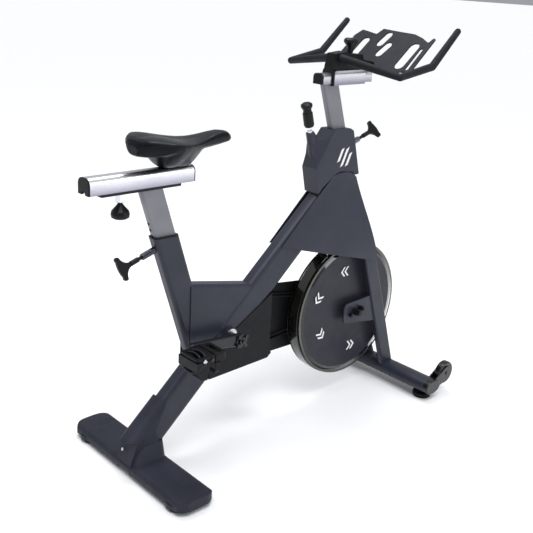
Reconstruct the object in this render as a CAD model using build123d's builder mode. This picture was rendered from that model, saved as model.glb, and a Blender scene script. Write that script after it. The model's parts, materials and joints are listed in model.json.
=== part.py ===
"""Indoor cycling exercise bike, millimetres, +X forwards, +Y to the rider's left, +Z up.

The origin is on the floor, below the middle of the overall length. The seat tube, the head tube and
the main tube are straight and are placed by a point and a lean; everything else hangs on those three
axes, the crank axle, the flywheel axle and the two floor stabilisers.
"""
import os
from math import cos, radians, sin, tan

from build123d import *

# Floor stabilisers and feet
rear_x = -477
front_x = 529
stabiliser_half = 262
front_foot_y = 218
rear_foot_y = 214
rear_foot_x = -503
foot_radius = 30

# Crank, pedals and belt drive
crank_x = -187
crank_z = 345
crank_length = 175
crank_tilt = 7
crank_inner_y = 63
crank_thickness = 14
spindle_radius = 6
axle_radius = 10
shell_radius = 23
shell_bore = 20
shell_half = 33.5
belt_y = 30
belt_width = 9
belt_thickness = 3
crank_pulley_radius = 96
wheel_pulley_radius = 24
belt_gap = 0.3

# Flywheel
wheel_x = 326
wheel_z = 305
wheel_radius = 229
wheel_rim_half = 17
wheel_face_radius = 206
wheel_face_half = 26
wheel_axle_radius = 7.5
run_gap = 0.05

# Main tube: a straight rounded tube from the rear stabiliser to the head tube
main_angle = 42.4
main_x = -197
main_z = 341.5
main_depth = 98
main_width = 50
main_corner = 20
tube_wall = 3
main_low = -475
main_high = 640

# Seat tube and seat post
seat_lean = 18.3
seat_foot_x = -184.7
seat_top_z = 676
seat_tube_size = (75, 40, 12)
seat_post_size = (66, 24, 8)
seat_plate_z = 812
seat_post_low_z = 535

# Head tube and handlebar post
bar_lean = 19.3
bar_foot_x = 546.6
head_top_z = 905
head_low_z = 640
head_tube_size = (69, 40, 12)
bar_post_size = (60, 24, 8)
bar_plate_z = 1040
bar_post_low_z = 762

# Fork and fairing
leg_size = (52, 20)
leg_inner_y = 42
leg_top_z = 552
fairing_skin = 3

# Seat rail, which carries the saddle
rail_back_x = -640
rail_front_x = -330
rail_bottom_z = 820
rail_size = (48, 42)
rail_wall = 3
rail_crown = 17
rail_slot = 16
slide_gap = 0.3

# Handlebar rail and the carriage on it
bar_rail_back_x = 137
bar_rail_front_x = 349
bar_rail_bottom_z = 1046
bar_rail_size = (36, 31)
bar_rail_crown = 11
carriage_back_x = 172
sleeve_back_x = 178
sleeve_front_x = 314

# Handlebar and tray
bar_radius = 13
horn_radii = (11.5, 9.5)
horn_rise = 42.6
bend_x = 370.5
bend_z = 1111
tray_skin = 4

# Spring pins that lock the two posts
pin_radius = 5
pin_sleeve_radius = 9
rear_pin_z = 656
front_pin_z = 840


def point_on(foot_x, lean, height):
    """Point on a leaning post axis at a height above the floor."""
    return (foot_x - height * tan(radians(lean)), 0, height)


def post_plane(foot_x, lean, height):
    """Plane square to a leaning post: local X points forwards, local Y to the left."""
    c, s = cos(radians(lean)), sin(radians(lean))
    return Plane(origin=point_on(foot_x, lean, height), x_dir=(c, 0, s), z_dir=(-s, 0, c))


def post_length(lean, low, high):
    return (high - low) / cos(radians(lean))


def pin_plane(foot_x, lean, height, side):
    """Plane square to a spring pin, which stands square to its post; side is 1 ahead, -1 behind."""
    c, s = cos(radians(lean)), sin(radians(lean))
    return Plane(origin=point_on(foot_x, lean, height), x_dir=(0, 1, 0), z_dir=(side * c, 0, side * s))


def main_plane(distance):
    """Plane square to the main tube: local X points up and back, local Y to the right."""
    c, s = cos(radians(main_angle)), sin(radians(main_angle))
    start = (main_x + distance * c, 0, main_z + distance * s)
    return Plane(origin=start, x_dir=(-s, 0, c), z_dir=(c, 0, s))


def side_plane(y):
    """Side view plane at y; an extrusion from it grows towards the right, -Y."""
    return Plane(origin=(0, y, 0), x_dir=(1, 0, 0), z_dir=(0, -1, 0))


def mirrored(builder):
    """The same piece on the other side of the bike."""
    with BuildPart() as twin:
        mirror(builder.part, about=Plane.XZ)
    return twin


def save(builder, name):
    builder.part.label = name
    export_step(builder.part, f"parts/{name}.step")


def post_bar(size, foot_x, lean, low, high):
    """Solid bar of rounded rectangular section along a post axis."""
    with BuildPart() as bar:
        with BuildSketch(post_plane(foot_x, lean, low)):
            RectangleRounded(*size)
        extrude(amount=post_length(lean, low, high))
    return bar


def turned(base, points):
    """Solid turned about the base plane's normal: points are radius and distance along it."""
    side = Plane(origin=base.origin, x_dir=base.x_dir, z_dir=-base.y_dir)
    with BuildPart() as solid:
        with BuildSketch(side):
            with BuildLine():
                Polyline((0, points[0][1]), *points, (0, points[-1][1]), (0, points[0][1]))
            make_face()
        revolve(axis=Axis(base.origin, base.z_dir))
    return solid


def main_block(grow, low, high):
    """Solid bar along the main tube's axis, larger than the tube by grow on every side."""
    with BuildPart() as bar:
        with BuildSketch(main_plane(low)):
            RectangleRounded(main_depth + 2 * grow, main_width + 2 * grow, main_corner + grow)
        extrude(amount=high - low)
    return bar


# ---------------------------------------------------------------- floor stabilisers

pad_half = 60
pad_end = 268
pad_seam_y = 54
pad_low_z = 14
pad_edge_z = 22
pad_top_z = 43
stub_size = (92, 24)


def make_rear_tube():
    """Flat steel tube inside the rear stabiliser."""
    with BuildPart() as tube:
        with BuildSketch(Plane.XZ.offset(-stabiliser_half + 14)):
            with Locations((rear_x, pad_low_z + stub_size[1] / 2)):
                RectangleRounded(*stub_size, 4)
                RectangleRounded(stub_size[0] - 5, stub_size[1] - 5, 2, mode=Mode.SUBTRACT)
        extrude(amount=2 * (stabiliser_half - 14))
    return tube


def pad_section():
    """Edges of the stabiliser covers' section: flat below, crowned above with soft shoulders."""
    shoulder = pad_half - 17
    with BuildLine() as path:
        Polyline((rear_x - pad_half, pad_edge_z), (rear_x - pad_half, pad_low_z),
                 (rear_x + pad_half, pad_low_z), (rear_x + pad_half, pad_edge_z))
        ThreePointArc((rear_x + pad_half, pad_edge_z), (rear_x + pad_half - 5, pad_top_z - 7.5),
                      (rear_x + shoulder, pad_top_z - 2.5))
        ThreePointArc((rear_x + shoulder, pad_top_z - 2.5), (rear_x, pad_top_z),
                      (rear_x - shoulder, pad_top_z - 2.5))
        ThreePointArc((rear_x - shoulder, pad_top_z - 2.5), (rear_x - pad_half + 5, pad_top_z - 7.5),
                      (rear_x - pad_half, pad_edge_z))
    return path.edges()


def make_rear_pad():
    """Right moulded pad over the rear stabiliser: a crowned cover with a round boss for the foot."""
    boss_radius = 38
    with BuildPart() as pad:
        with BuildSketch(side_plane(-pad_seam_y)):
            make_face(pad_section())
        extrude(amount=pad_end - pad_seam_y)
        with BuildSketch(Plane.XY.offset(8)):
            with Locations((rear_foot_x, -rear_foot_y)):
                Circle(boss_radius)
        extrude(amount=pad_edge_z - 8)
        with BuildSketch(Plane.XY):
            with Locations((rear_x - 2, -(pad_seam_y + pad_end) / 2)):
                RectangleRounded(2 * pad_half + 8, pad_end - pad_seam_y, 40)
            with Locations((rear_x - 2, -pad_seam_y - 40)):
                Rectangle(2 * pad_half + 8, 80)
        extrude(amount=pad_top_z, mode=Mode.INTERSECT)
        with BuildSketch(side_plane(0)):
            with Locations((rear_x, pad_low_z + stub_size[1] / 2)):
                Rectangle(*stub_size)
        extrude(amount=stabiliser_half - 14, mode=Mode.SUBTRACT)
        with BuildSketch(Plane.XY):
            with Locations((rear_foot_x, -rear_foot_y)):
                Circle(6)
        extrude(amount=pad_low_z, mode=Mode.SUBTRACT)
    return pad


def rear_cut(gap):
    """Slanted plane that ends the main tube above the rear stabiliser, moved back by a gap."""
    slope_x, slope_z, slope = -504, 105, 69.3
    return Plane(origin=(slope_x - gap, 0, slope_z),
                 z_dir=(sin(radians(slope)), 0, -cos(radians(slope))))


def make_rear_cover():
    """Moulded cover over the foot of the main tube: a sleeve round the tube on a flared base."""
    base_z, shoulder_z, base_y = 36, 84, pad_seam_y - 0.5
    sleeve_top = -258
    with BuildPart() as cover:
        add(main_block(8, main_low, sleeve_top).part)
        with BuildSketch(Plane.XZ.offset(-60)):
            with BuildLine():
                Polyline((-560, 105), (-512, 105), (-537, 39), (-420, 39), (-452, 120),
                         (-408, 215), (-395, 250), (-480, 330), (-560, 250), (-560, 105))
            make_face()
        extrude(amount=120, mode=Mode.INTERSECT)
    with BuildPart() as base:
        with BuildSketch(Plane.XY.offset(base_z)):
            with Locations((rear_x + 1, 0)):
                RectangleRounded(106, 2 * base_y, 22)
        with BuildSketch(Plane.XY.offset(shoulder_z)):
            with Locations((rear_x + 14, 0)):
                RectangleRounded(92, 66, 24)
        loft()
    with BuildPart() as room:
        add(main_block(0.3, main_low, main_high).part)
        split(bisect_by=rear_cut(0.3), keep=Keep.TOP)
    with BuildPart() as whole:
        with BuildSketch(side_plane(base_y)):
            make_face(pad_section())
        extrude(amount=2 * base_y)
        add(cover.part)
        add(base.part)
        add(room.part, mode=Mode.SUBTRACT)
        with BuildSketch(side_plane(base_y)):
            with Locations((rear_x, pad_low_z + stub_size[1] / 2)):
                Rectangle(stub_size[0] + 0.1, stub_size[1] + 0.1)
        extrude(amount=2 * base_y, mode=Mode.SUBTRACT)
    return whole


def make_cover_screws():
    """Two screws that hold the sleeve to the tube, one above the other."""
    slope = 69.3
    c, s = cos(radians(slope)), sin(radians(slope))
    with BuildPart() as screws:
        for along in (31, 63):
            head = Plane(origin=(-537 + along * c, 18, 39 + along * s), z_dir=(-s, 0, c))
            with BuildSketch(head):
                Circle(4.5)
            extrude(amount=2.6)
    return screws


def make_rear_foot():
    """Right rear levelling foot: a rubber disc on a stud that turns in the pad's boss."""
    with BuildPart() as foot:
        with BuildSketch(Plane.XY):
            with Locations((rear_foot_x, -rear_foot_y)):
                Circle(foot_radius + 2)
        extrude(amount=7.5)
        fillet(foot.edges().group_by(Axis.Z)[0], 2)
        with BuildSketch(Plane.XY.offset(7.5)):
            with Locations((rear_foot_x, -rear_foot_y)):
                Circle(6 - run_gap)
        extrude(amount=6)
    return foot


front_half = 38
front_height = 25
front_z = 47


def front_oval(grow, half_length):
    """Solid oval bar of the front stabiliser."""
    with BuildPart() as bar:
        with BuildSketch(Plane.XZ.offset(-half_length)):
            with Locations((front_x, front_z)):
                Ellipse(front_half + grow, front_height + grow)
        extrude(amount=2 * half_length)
    return bar


def make_front_tube():
    """Oval steel tube of the front stabiliser, with a bush under each end for a foot."""
    with BuildPart() as tube:
        add(front_oval(0, stabiliser_half - 18).part)
        add(front_oval(-tube_wall, stabiliser_half - 18).part, mode=Mode.SUBTRACT)
        with BuildSketch(Plane.XY.offset(21)):
            with Locations((front_x, -front_foot_y), (front_x, front_foot_y)):
                Circle(11)
        extrude(amount=14)
        with BuildSketch(Plane.XY.offset(18)):
            with Locations((front_x, -front_foot_y), (front_x, front_foot_y)):
                Circle(6)
        extrude(amount=19, mode=Mode.SUBTRACT)
    return tube


transport_x = 605
transport_z = 76
transport_radius = 40
transport_y = 244
transport_half = 11


def make_front_cap():
    """Right end cap of the front stabiliser, with two cheeks that hold the transport wheel."""
    cheek = 3.4
    with BuildPart() as cap:
        with BuildSketch(side_plane(-stabiliser_half + 18)):
            with Locations((front_x, front_z)):
                Ellipse(front_half, front_height)
        extrude(amount=20)
        fillet(cap.edges().group_by(Axis.Y)[0], 3)
        for near in (transport_y - transport_half - 1 - cheek, transport_y + transport_half + 1):
            with BuildSketch(side_plane(-near)):
                with Locations((transport_x, transport_z)):
                    Circle(25)
                with Locations((front_x + 20, front_z + 4)):
                    Circle(17)
                make_hull()
            extrude(amount=cheek)
        with BuildSketch(side_plane(-transport_y + transport_half + 1 + cheek)):
            with Locations((front_x + 28, front_z + 5)):
                Rectangle(12, 26)
        extrude(amount=2 * (transport_half + 1 + cheek))
        add(front_oval(0, stabiliser_half - 18).part, mode=Mode.SUBTRACT)
        with BuildSketch(side_plane(-transport_y + 30)):
            with Locations((transport_x, transport_z)):
                Circle(4)
        extrude(amount=60)
        with BuildSketch(side_plane(-transport_y - transport_half - 4)):
            with Locations((transport_x, transport_z)):
                Circle(7)
        extrude(amount=2.5)
        with BuildSketch(side_plane(-transport_y + 31)):
            with Locations((transport_x, transport_z)):
                Circle(12)
        extrude(amount=31 - transport_half - 1 - cheek, mode=Mode.SUBTRACT)
        with BuildSketch(side_plane(-transport_y - transport_half - 7)):
            with Locations((transport_x, transport_z)):
                Circle(12)
        extrude(amount=30, mode=Mode.SUBTRACT)
    return cap


def make_end_caps():
    """Both end caps of the front stabiliser."""
    with BuildPart() as caps:
        add(make_front_cap().part)
        mirror(make_front_cap().part, about=Plane.XZ)
    return caps


def make_transport_wheel():
    """Right transport wheel, which turns on the cap's pin."""
    with BuildPart() as wheel:
        with BuildSketch(side_plane(-transport_y + transport_half)):
            with Locations((transport_x, transport_z)):
                Circle(transport_radius)
        extrude(amount=2 * transport_half)
        fillet(wheel.edges(), 5)
        with BuildSketch(side_plane(-transport_y + transport_half)):
            with Locations((transport_x, transport_z)):
                Circle(4 + run_gap)
        extrude(amount=2 * transport_half, mode=Mode.SUBTRACT)
    return wheel


def make_front_foot():
    """Right levelling foot: a round rubber pad on a stud that turns in the stabiliser's bush."""
    with BuildPart() as foot:
        with BuildSketch(Plane.XY):
            with Locations((front_x, -front_foot_y)):
                Circle(foot_radius)
        extrude(amount=15)
        fillet(foot.edges().group_by(Axis.Z)[0], 3)
        with BuildSketch(Plane.XY.offset(15)):
            with Locations((front_x, -front_foot_y)):
                Circle(6 - run_gap)
        extrude(amount=18)
    return foot


# ---------------------------------------------------------------- frame tubes

def make_main_tube():
    """Main tube with the crank bearing shell welded across it."""
    with BuildPart() as tube:
        add(main_block(0, main_low, main_high).part)
        add(main_block(-tube_wall, main_low, main_high).part, mode=Mode.SUBTRACT)
        split(bisect_by=Plane.XY.offset(pad_low_z + stub_size[1]), keep=Keep.TOP)
        split(bisect_by=rear_cut(0), keep=Keep.TOP)
        add(post_bar(head_tube_size, bar_foot_x, bar_lean, head_low_z, head_top_z).part,
            mode=Mode.SUBTRACT)
        with BuildSketch(side_plane(shell_half)):
            with Locations((crank_x, crank_z)):
                Circle(shell_radius)
        extrude(amount=2 * shell_half)
        with BuildSketch(side_plane(shell_half)):
            with Locations((crank_x, crank_z)):
                Circle(shell_bore)
        extrude(amount=2 * shell_half, mode=Mode.SUBTRACT)
        with BuildSketch(brake_plane(brake_rod_length)):
            Circle(7)
        extrude(amount=brake_rod_length, mode=Mode.SUBTRACT)
    return tube


def post_tube(size, foot_x, lean, low, high):
    """Hollow rounded tube along a post axis, cut level at the top."""
    depth, width, corner = size
    inner = (depth - 2 * tube_wall, width - 2 * tube_wall, corner - tube_wall)
    with BuildPart() as tube:
        add(post_bar(size, foot_x, lean, low, high + 20).part)
        add(post_bar(inner, foot_x, lean, low, high + 20).part, mode=Mode.SUBTRACT)
        split(bisect_by=Plane.XY.offset(high), keep=Keep.BOTTOM)
    return tube


def drill_pin(foot_x, lean, height, side):
    """Bar that bores the hole for a spring pin through one wall of its tube."""
    with BuildPart() as drill:
        with BuildSketch(pin_plane(foot_x, lean, height, side)):
            Circle(pin_sleeve_radius)
        extrude(amount=60)
    return drill


def make_seat_tube():
    """Seat tube, coped to the main tube, bored at the back for its spring pin."""
    with BuildPart() as tube:
        add(post_tube(seat_tube_size, seat_foot_x, seat_lean, 240, seat_top_z).part)
        add(main_block(0, main_low, main_high).part, mode=Mode.SUBTRACT)
        add(drill_pin(seat_foot_x, seat_lean, rear_pin_z, -1).part, mode=Mode.SUBTRACT)
    with BuildPart() as kept:
        add(tube.part.solids().sort_by(Axis.Z)[-1])
    return kept


def make_head_tube():
    """Head tube, bored at the front for its spring pin, with the fork crown welded below it."""
    with BuildPart() as tube:
        add(post_tube(head_tube_size, bar_foot_x, bar_lean, head_low_z, head_top_z).part)
        add(drill_pin(bar_foot_x, bar_lean, front_pin_z, 1).part, mode=Mode.SUBTRACT)
        add(make_fork_crown().part)
        add(make_brake_bracket().part)
    return tube


def web_block(half, drop, crown):
    """Solid between the seat tube and the main tube, with a round top lowered by drop."""
    with BuildPart() as block:
        with BuildSketch(side_plane(half)):
            with BuildLine():
                Polyline((-330, 529 - drop), (-80, 478 - drop), (-80, 380), (-230, 300), (-330, 300),
                         (-330, 529 - drop))
            make_face()
        extrude(amount=2 * half)
        fillet(block.faces().sort_by(Axis.Z)[-1].edges().filter_by(Axis.Y, reverse=True), crown)
    return block


def make_frame_web():
    """Folded sheet box between the seat tube and the main tube: round top, open below."""
    half, crown = 23, 11
    with BuildPart() as web:
        add(web_block(half, 0, crown).part)
        add(web_block(half - tube_wall, tube_wall, crown - tube_wall).part, mode=Mode.SUBTRACT)
        add(main_block(0, main_low, main_high).part, mode=Mode.SUBTRACT)
        add(post_bar(seat_tube_size, seat_foot_x, seat_lean, 240, seat_top_z).part,
            mode=Mode.SUBTRACT)
    with BuildPart() as kept:
        add(web.part.solids().sort_by(SortBy.VOLUME)[-1])
    return kept


def make_fork_crown():
    """Hollow crown that spreads from the head tube to the fork legs above the flywheel."""
    with BuildPart() as crown:
        with BuildSketch(post_plane(bar_foot_x, bar_lean, leg_top_z)):
            RectangleRounded(54, 124, 10)
        with BuildSketch(post_plane(bar_foot_x, bar_lean, head_low_z)):
            RectangleRounded(68, 48, 12)
        loft()
        with BuildSketch(post_plane(bar_foot_x, bar_lean, leg_top_z + 5)):
            RectangleRounded(46, 112, 8)
        with BuildSketch(post_plane(bar_foot_x, bar_lean, head_low_z - 5)):
            RectangleRounded(58, 40, 8)
        loft(mode=Mode.SUBTRACT)
    return crown


def make_fork_leg():
    """Right fork leg with its axle plate behind and a gusset at the foot."""
    depth, width = leg_size
    centre_y = leg_inner_y + width / 2
    plate_outer, plate_skin = 56, 6
    with BuildPart() as leg:
        with BuildSketch(post_plane(bar_foot_x, bar_lean, 40)):
            with Locations((0, -centre_y)):
                RectangleRounded(depth, width, 5)
        extrude(amount=post_length(bar_lean, 40, leg_top_z))
        with BuildSketch(side_plane(-plate_outer + plate_skin)):
            with BuildLine():
                Polyline((276, 318), (276, 338), (420, 344), (440, 246), (276, 272), (276, 318))
            make_face()
        extrude(amount=plate_skin)
        fillet(leg.edges().filter_by(Axis.Y).group_by(Axis.X)[0], 16)
        with BuildSketch(Plane.YZ.offset(front_x - 4)):
            with BuildLine():
                Polyline((-leg_inner_y, 60), (-leg_inner_y, 150), (-8, 72), (-8, 60),
                         (-leg_inner_y, 60))
            make_face()
        extrude(amount=8)
        add(front_oval(0, stabiliser_half).part, mode=Mode.SUBTRACT)
        with BuildSketch(side_plane(0)):
            with Locations((wheel_x, wheel_z)):
                Circle(wheel_axle_radius)
        extrude(amount=80, mode=Mode.SUBTRACT)
    with BuildPart() as kept:
        add(leg.part.solids().sort_by(SortBy.VOLUME)[-1])
    return kept


# ---------------------------------------------------------------- covers

def fairing_slice(height, rear_y, front_y, ahead):
    """One level slice of the right fairing: a bowed strip from the main tube to the fork's front."""
    back_x = main_x + (height - main_z) / tan(radians(main_angle)) - 70
    nose_x = bar_foot_x - height * tan(radians(bar_lean)) + ahead
    middle_x = (back_x + nose_x) / 2
    middle_y = (rear_y + front_y) / 2 + 5
    with BuildSketch(Plane.XY.offset(height)) as strip:
        with BuildLine():
            outer = ThreePointArc((back_x, -rear_y), (middle_x, -middle_y), (nose_x, -front_y))
            inner = ThreePointArc((back_x, -rear_y + fairing_skin), (middle_x, -middle_y + fairing_skin),
                                  (nose_x, -front_y + fairing_skin))
            Line(outer @ 0, inner @ 0)
            Line(outer @ 1, inner @ 1)
        make_face()
    return strip


def make_fairing():
    """Right fairing: a bowed sheet from the main tube, over the wheel's top, to the fork leg."""
    levels = ((455, 28.6, 67.5), (560, 28.6, 67.5), (680, 28.6, 43.5), (810, 28.6, 28.6))
    with BuildPart() as sheet:
        for height, rear_y, front_y in levels:
            add(fairing_slice(height, rear_y, front_y, 34).sketch)
        loft()
    with BuildPart() as panel:
        add(sheet.part)
        with BuildSketch(side_plane(0)):
            with BuildLine():
                Polyline((303, 757), (404, 471), (2, 578), (162, 735))
                ThreePointArc((162, 735), (222, 776), (303, 757))
            make_face()
        extrude(amount=100, mode=Mode.INTERSECT)
    return panel


def make_head_cover():
    """Moulded cover around the head tube, with the sleeve of the resistance knob at its back."""
    half = 28.5
    with BuildPart() as room:
        add(post_bar((70, 41, 12), bar_foot_x, bar_lean, 600, head_top_z + 30).part)
        split(bisect_by=Plane.XY.offset(head_top_z + 4.3), keep=Keep.BOTTOM)
    with BuildPart() as cover:
        with BuildSketch(side_plane(half)):
            with BuildLine():
                Polyline((103, 901), (128, 904), (138, 886), (162, 886), (186, 912), (262, 911),
                         (276, 903), (290, 857), (317, 765), (304, 763), (284, 775), (222, 782),
                         (160, 742), (138, 722), (119, 802), (123, 838), (113, 875), (103, 901))
            make_face()
        extrude(amount=2 * half)
        for side in (-1, 1):
            bevel = Plane(origin=(184, side * half, 896), x_dir=(66, 0, 102), z_dir=(102, -side * 300, -66))
            split(bisect_by=bevel, keep=Keep.TOP)
        with BuildSketch(brake_plane(180)):
            Circle(13)
        extrude(amount=180 - 91)
        add(room.part, mode=Mode.SUBTRACT)
        add(post_bar((63, 27, 8), bar_foot_x, bar_lean, 880, 930).part, mode=Mode.SUBTRACT)
        add(main_block(0.3, main_low, main_high + 60).part, mode=Mode.SUBTRACT)
        with BuildSketch(pin_plane(bar_foot_x, bar_lean, front_pin_z, 1)):
            Circle(pin_sleeve_radius + 0.5)
        extrude(amount=80, mode=Mode.SUBTRACT)
        with BuildSketch(brake_plane(0)):
            Circle(brake_tube_radius + 0.5)
        extrude(amount=-300, mode=Mode.SUBTRACT)
    with BuildPart() as kept:
        add(cover.part.solids().sort_by(SortBy.VOLUME)[-1])
    return kept


def make_drive_cover():
    """Right side cover of the belt drive, below the main tube."""
    face_y, skin = 28, 2.5

    def outline(inset):
        with BuildLine() as path:
            Polyline((-262 + inset, 222 + inset), (-34 - inset, 228 + inset), (-19 - inset, 240 + inset),
                     (-27 - inset, 290), (-28 - inset, 440), (-262 + inset, 300),
                     (-262 + inset, 222 + inset))
        return path.edges()

    with BuildPart() as cover:
        with BuildSketch(side_plane(belt_y - 4)):
            make_face(outline(0))
        extrude(amount=face_y + belt_y - 4)
        with BuildSketch(side_plane(belt_y)):
            make_face(outline(skin))
        extrude(amount=face_y + belt_y - skin - 3, mode=Mode.SUBTRACT)
        add(main_block(0.2, main_low, main_high).part, mode=Mode.SUBTRACT)
        with BuildSketch(side_plane(80)):
            with Locations((crank_x, crank_z)):
                Circle(shell_radius + 1)
        extrude(amount=160, mode=Mode.SUBTRACT)
    with BuildPart() as kept:
        add(cover.part.solids().sort_by(SortBy.VOLUME)[-1])
    return kept


def belt_outline(grow):
    """Outline round both pulleys in a side view plane."""
    with Locations((crank_x, crank_z)):
        Circle(crank_pulley_radius + grow)
    with Locations((wheel_x, wheel_z)):
        Circle(wheel_pulley_radius + grow)
    make_hull()


def make_belt_guard():
    """Left cover over the belt and both pulleys, with a plate behind the wheel's back edge."""
    grow, skin, outer_y, inner_y = 12, 2, 41.7, 26.8
    with BuildPart() as guard:
        with BuildSketch(side_plane(outer_y)):
            belt_outline(grow)
        extrude(amount=outer_y - inner_y)
        with BuildSketch(side_plane(outer_y - skin)):
            belt_outline(grow - skin)
        extrude(amount=outer_y - inner_y, mode=Mode.SUBTRACT)
        with BuildSketch(side_plane(outer_y)) as plate:
            with BuildLine():
                Polyline((12, 203), (170, 200), (176, 418), (30, 436), (12, 203))
            make_face()
            fillet(plate.vertices(), 10)
        extrude(amount=skin)
        with BuildSketch(side_plane(80)):
            with Locations((crank_x, crank_z)):
                Circle(shell_radius + 2)
            with Locations((wheel_x, wheel_z)):
                Circle(wheel_axle_radius + 6)
        extrude(amount=80, mode=Mode.SUBTRACT)
    return guard


# ---------------------------------------------------------------- drive and flywheel

def make_crank_bearings():
    """Two bearings of the crank axle, in the ends of the shell."""
    with BuildPart() as bearings:
        for near in (shell_half, -shell_half + 10):
            with BuildSketch(side_plane(near)):
                with Locations((crank_x, crank_z)):
                    Circle(shell_bore)
                    Circle(axle_radius + run_gap, mode=Mode.SUBTRACT)
            extrude(amount=10)
    return bearings


def make_crank_axle():
    with BuildPart() as axle:
        with BuildSketch(side_plane(crank_inner_y + 10)):
            with Locations((crank_x, crank_z)):
                Circle(axle_radius)
        extrude(amount=2 * (crank_inner_y + 10))
    return axle


def pedal_centre(side):
    """Middle of a pedal: the right one is behind the crank axle, the left one ahead of it."""
    y = side * (crank_inner_y + crank_thickness + pedal_gap + pedal_width / 2)
    along = radians(crank_tilt)
    return (crank_x + side * crank_length * cos(along), y, crank_z - side * crank_length * sin(along))


def make_crank(side):
    """Crank arm with the pedal spindle at its end; side is -1 on the right."""
    pedal_x, _, pedal_z = pedal_centre(side)
    inner = Plane.XZ.offset(-side * crank_inner_y)
    outer = Plane.XZ.offset(-side * (crank_inner_y + crank_thickness))
    with BuildPart() as arm:
        with BuildSketch(inner):
            with Locations((crank_x, crank_z)):
                Circle(19)
            with Locations((pedal_x, pedal_z)):
                Circle(12)
            make_hull()
        extrude(amount=-side * crank_thickness)
        fillet(arm.edges().group_by(Axis.Y)[0 if side < 0 else -1], 4)
        with BuildSketch(inner):
            with Locations((crank_x, crank_z)):
                Circle(axle_radius)
        extrude(amount=-side * 10, mode=Mode.SUBTRACT)
        for radius, length in ((8, 3), (spindle_radius, pedal_gap + pedal_width + 3)):
            with BuildSketch(outer):
                with Locations((pedal_x, pedal_z)):
                    Circle(radius)
            extrude(amount=-side * length)
    return arm


pedal_gap = 7
pedal_width = 76
pedal_length = 100
pedal_height = 22


def make_pedal(side):
    """Pedal body: a cage of bars round a spindle barrel."""
    x, y, z = pedal_centre(side)
    with BuildPart() as body:
        with BuildSketch(Plane(origin=(x, y, z - pedal_height / 2))):
            RectangleRounded(pedal_length, pedal_width, 10)
            with GridLocations(56, 0, 2, 1):
                RectangleRounded(28, pedal_width - 20, 5, mode=Mode.SUBTRACT)
        extrude(amount=pedal_height)
        with BuildSketch(Plane(origin=(x, y + pedal_width / 2, z), x_dir=(1, 0, 0), z_dir=(0, -1, 0))):
            Circle(spindle_radius + run_gap)
        extrude(amount=pedal_width, mode=Mode.SUBTRACT)
    return body


def make_toe_cage(side):
    """Toe cage with its strap and buckle; the empty pedal hangs with the cage below it."""
    x, y, z = pedal_centre(side)
    wall, end = 3, pedal_length / 2
    strap_x, strap_width, strap_skin, strap_low = 10, 14, 2.5, 44
    strap_high = pedal_height / 2 + strap_skin
    half = pedal_width / 2
    with BuildPart() as cage:
        with BuildSketch(Plane(origin=(x, y + half + wall, z), x_dir=(1, 0, 0), z_dir=(0, -1, 0))):
            with BuildLine():
                Polyline((-end - wall, 2), (-end - wall, -24), (-end + 14, -50), (-18, -54), (-9, -12),
                         (-9, 2), (-end - wall, 2))
            make_face()
        extrude(amount=2 * (half + wall))
        with BuildSketch(Plane(origin=(x, y + half, z), x_dir=(1, 0, 0), z_dir=(0, -1, 0))):
            with BuildLine():
                Polyline((-end, 2), (-end, -23), (-end + 16, -47), (0, -51), (0, 2), (-end, 2))
            make_face()
        extrude(amount=2 * half, mode=Mode.SUBTRACT)
        with Locations((x - end + 4, y, z - 36)):
            Box(34, 34, 20, mode=Mode.SUBTRACT)
        with BuildSketch(Plane.YZ.offset(x + strap_x)):
            with Locations((y, z + (strap_high - strap_low) / 2)):
                RectangleRounded(2 * (half + strap_skin), strap_high + strap_low, 9)
                RectangleRounded(2 * half, strap_high + strap_low - 2 * strap_skin, 7, mode=Mode.SUBTRACT)
        extrude(amount=strap_width)
        with Locations((x + strap_x + strap_width / 2, y + side * (half + strap_skin + 1.5), z - 20)):
            Box(strap_width + 4, 3, 20)
        add(make_pedal(side).part, mode=Mode.SUBTRACT)
    return cage


def make_crank_pulley():
    """Crank pulley: a ribbed rim on a dished, lightened plate."""
    with BuildPart() as pulley:
        with BuildSketch(side_plane(belt_y + belt_width + 0.5)):
            with Locations((crank_x, crank_z)):
                Circle(crank_pulley_radius)
                Circle(crank_pulley_radius - 8, mode=Mode.SUBTRACT)
        extrude(amount=belt_width + 1)
        with BuildSketch(side_plane(belt_y + belt_width)):
            with Locations((crank_x, crank_z)):
                Circle(crank_pulley_radius - 4)
                with PolarLocations(58, 5):
                    Circle(17, mode=Mode.SUBTRACT)
        extrude(amount=4)
        with BuildSketch(side_plane(belt_y + belt_width + 2)):
            with Locations((crank_x, crank_z)):
                Circle(20)
        extrude(amount=belt_width - 4 + 2)
        with BuildSketch(side_plane(80)):
            with Locations((crank_x, crank_z)):
                Circle(axle_radius)
        extrude(amount=80, mode=Mode.SUBTRACT)
    return pulley


def make_belt():
    with BuildPart() as belt:
        with BuildSketch(side_plane(belt_y + belt_width)):
            belt_outline(belt_gap + belt_thickness)
        extrude(amount=belt_width)
        with BuildSketch(side_plane(belt_y + belt_width)):
            belt_outline(belt_gap)
        extrude(amount=belt_width, mode=Mode.SUBTRACT)
    return belt


def make_wheel_pulley():
    with BuildPart() as pulley:
        with BuildSketch(side_plane(belt_y + belt_width + 0.5)):
            with Locations((wheel_x, wheel_z)):
                Circle(wheel_pulley_radius)
                Circle(wheel_axle_radius + run_gap, mode=Mode.SUBTRACT)
        extrude(amount=belt_width + 3.5)
    return pulley


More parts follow.
